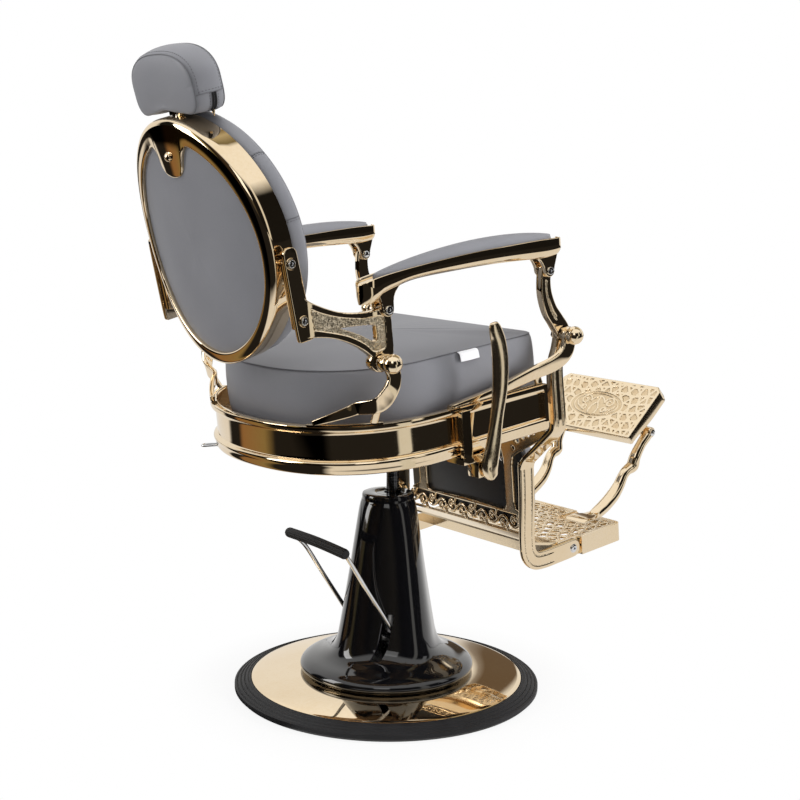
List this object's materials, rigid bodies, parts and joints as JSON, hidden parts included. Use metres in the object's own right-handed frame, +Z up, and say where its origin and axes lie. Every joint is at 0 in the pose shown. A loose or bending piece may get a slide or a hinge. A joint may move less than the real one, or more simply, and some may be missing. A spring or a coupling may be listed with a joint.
{
  "type": "hydraulic barber chair",
  "caption": "Reclining barber chair on a round weighted base with a foot-pumped lift, padded seat, oval back, sliding headrest, armrests, linked legrest and folding step.",
  "frame": {"origin": "centre of the round base on the floor", "axes": "+Z up, the sitter faces -Y, +X to the sitter's left; the recline lever is on -X"},
  "size_m": [0.688, 1.2317, 1.3042],
  "materials": {
    "gold_plate": "polished",
    "gold_casting": "polished",
    "grey_cushion": "satin",
    "steel": "polished",
    "gloss_black_steel": "gloss",
    "gloss_black_cover": "gloss",
    "black_rubber": "matte",
    "board": "matte",
    "black_board": "satin",
    "white_cloth": "matte"
  },
  "bodies": {
    "base": {"base_rim": "black_rubber", "base_disc": "gold_plate", "column_cover": "gloss_black_cover", "cover_collar": "gloss_black_cover", "pump_cylinder": "steel", "base_bolts": "steel"},
    "pump": {"pump_rocker": "steel", "pump_lever": "steel", "pump_grip": "black_rubber"},
    "lift": {"piston_rod": "steel", "swivel_bearing": "steel"},
    "seat": {"seat_mount": "gloss_black_steel", "seat_band": "gold_plate", "side_rails": "gold_plate", "front_rail": "gold_plate", "seat_board": "board", "seat_cushion": "grey_cushion", "rear_bracket_right": "gold_casting", "rear_bracket_left": "gold_casting", "front_bracket_right": "gold_casting", "front_bracket_left": "gold_casting", "rear_pivots": "gold_plate", "front_pivots": "gold_plate", "lever_bracket": "gold_plate", "lever_bolts": "steel", "recline_lock": "gloss_black_steel", "mount_bolts": "steel", "strap_hook": "steel", "blank_tag": "white_cloth"},
    "recline_handle": {"recline_lever": "gold_plate"},
    "back": {"back_shell": "gold_plate", "back_panel": "grey_cushion", "back_cushion": "grey_cushion", "back_casting_right": "gold_casting", "back_casting_left": "gold_casting", "casting_screws": "steel", "headrest_guide": "steel", "guide_screw": "gold_plate"},
    "headrest": {"headrest_stem": "steel", "headrest_cushion": "grey_cushion", "headrest_zip": "black_board"},
    "armrest_right": {"armrest_frame_right": "gold_casting", "armrest_pad_right": "grey_cushion", "armrest_pins_right": "steel"},
    "armrest_left": {"armrest_frame_left": "gold_casting", "armrest_pad_left": "grey_cushion", "armrest_pins_left": "steel"},
    "legs": {"leg_casting_right": "gold_casting", "leg_casting_left": "gold_casting", "calf_frame": "gold_plate", "calf_board": "black_board", "calf_cushion": "grey_cushion", "footrest_tray": "gold_plate", "tray_screws": "steel", "yoke_rod": "steel"},
    "yoke": {"step_yoke": "gold_plate"},
    "step": {"step_plate": "gold_plate", "step_rod": "steel"}
  },
  "joints": [
    {"name": "pump_stroke", "type": "hinge", "parent": "base", "child": "pump", "pos_m": [0, 0.022, 0.112], "axis": [-1, 0, 0], "range_deg": [0, 35], "stiffness_Nm_per_rad": 6, "springref_deg": -28.65},
    {"name": "seat_lift", "type": "slide", "parent": "base", "child": "lift", "axis": [0, 0, 1], "range_m": [-0.05, 0.11]},
    {"name": "seat_swivel", "type": "hinge", "parent": "lift", "child": "seat", "pos_m": [0, -0.012, 0.511], "axis": [0, 0, 1], "range_deg": [-120, 120]},
    {"name": "recline_release", "type": "hinge", "parent": "seat", "child": "recline_handle", "pos_m": [-0.33, 0.02068, 0.52646], "axis": [-1, 0, 0], "range_deg": [0, 18], "stiffness_Nm_per_rad": 3, "springref_deg": -14.32},
    {"name": "back_recline", "type": "hinge", "parent": "seat", "child": "back", "pos_m": [0, 0.25584, 0.74424], "axis": [-1, 0, 0], "range_deg": [0, 30]},
    {"name": "legrest_swing", "type": "hinge", "parent": "seat", "child": "legs", "pos_m": [0, -0.20184, 0.76418], "axis": [-1, 0, 0], "range_deg": [0, 22.7]},
    {"name": "armrest_right_link", "type": "hinge", "parent": "back", "child": "armrest_right", "pos_m": [0, 0.24897, 0.83762], "axis": [-1, 0, 0], "range_deg": [-33.1, 0]},
    {"name": "armrest_left_link", "type": "hinge", "parent": "back", "child": "armrest_left", "pos_m": [0, 0.24897, 0.83762], "axis": [-1, 0, 0], "range_deg": [-33.1, 0]},
    {"name": "headrest_slide", "type": "slide", "parent": "back", "child": "headrest", "axis": [0, 0.2672, 0.9636], "range_m": [0, 0.11]},
    {"name": "step_yoke_fold", "type": "hinge", "parent": "legs", "child": "yoke", "pos_m": [0, -0.46418, 0.30795], "axis": [-1, 0, 0], "range_deg": [0, 50]},
    {"name": "step_flip", "type": "hinge", "parent": "yoke", "child": "step", "pos_m": [0, -0.65957, 0.49225], "axis": [-1, 0, 0], "range_deg": [-100, 0]}
  ],
  "couplings": [
    {"joint": "legrest_swing", "follows": "back_recline", "ratio": 0.755},
    {"joint": "armrest_right_link", "follows": "back_recline", "ratio": -1.1},
    {"joint": "armrest_left_link", "follows": "back_recline", "ratio": -1.1}
  ]
}
